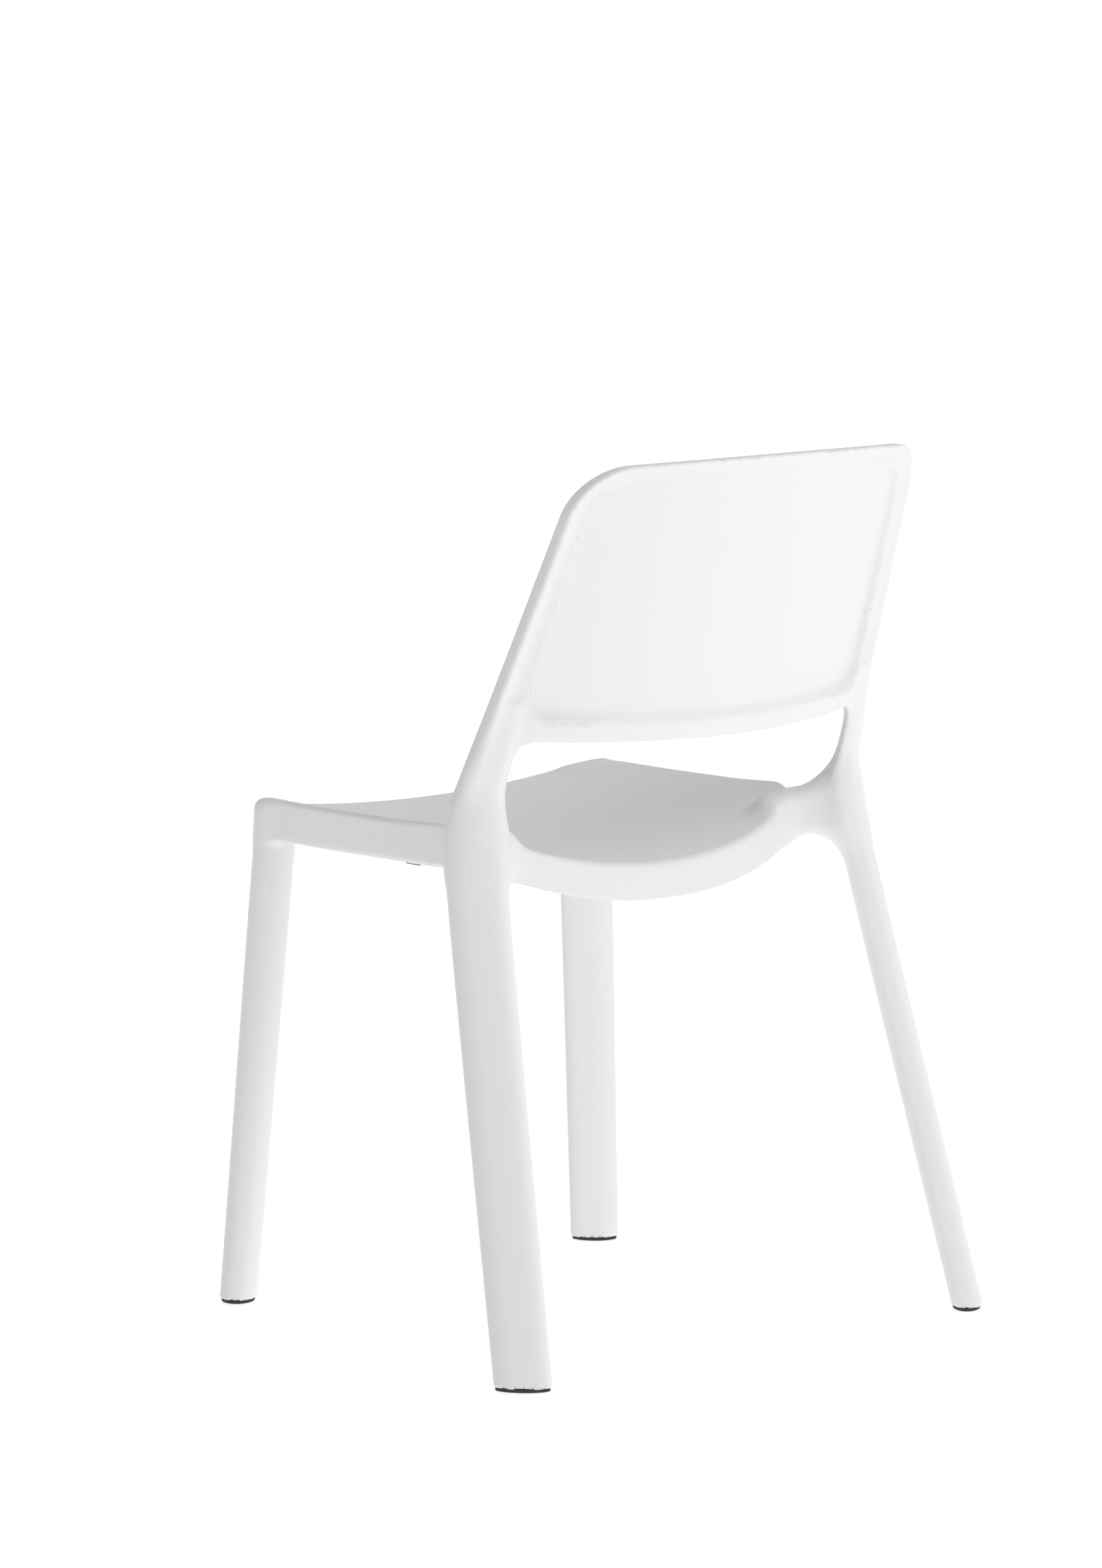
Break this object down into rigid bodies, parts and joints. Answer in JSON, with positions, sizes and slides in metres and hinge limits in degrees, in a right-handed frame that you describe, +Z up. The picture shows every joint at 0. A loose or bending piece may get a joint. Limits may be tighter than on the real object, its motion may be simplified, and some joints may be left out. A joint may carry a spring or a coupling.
{
  "type": "stacking chair",
  "caption": "Armless one-piece moulded plastic stacking chair with a dished seat, a curved panel back in a raised rim, splayed legs and pressed-in rubber glides.",
  "frame": {"origin": "middle of the chair's footprint box, on the floor", "axes": "+Z up, the chair faces -Y, the back is at +Y, +X is the sitter's left"},
  "size_m": [0.58, 0.5366, 0.81],
  "materials": {
    "polypropylene": "satin white, fine moulded texture",
    "dark_rubber": "matte"
  },
  "bodies": {
    "root": {"seat_panel": "polypropylene", "apron_front": "polypropylene", "apron_rear": "polypropylene", "apron_left": "polypropylene", "apron_right": "polypropylene", "front_leg_left": "polypropylene", "front_leg_right": "polypropylene", "rear_leg_left": "polypropylene", "rear_leg_right": "polypropylene", "back_stile_left": "polypropylene", "back_stile_right": "polypropylene", "back_top_rail": "polypropylene", "back_bottom_rail": "polypropylene", "back_panel": "polypropylene", "glide_front_left": "dark_rubber", "glide_front_right": "dark_rubber", "glide_rear_left": "dark_rubber", "glide_rear_right": "dark_rubber", "stack_bumper_left": "dark_rubber", "stack_bumper_right": "dark_rubber"}
  },
  "joints": []
}
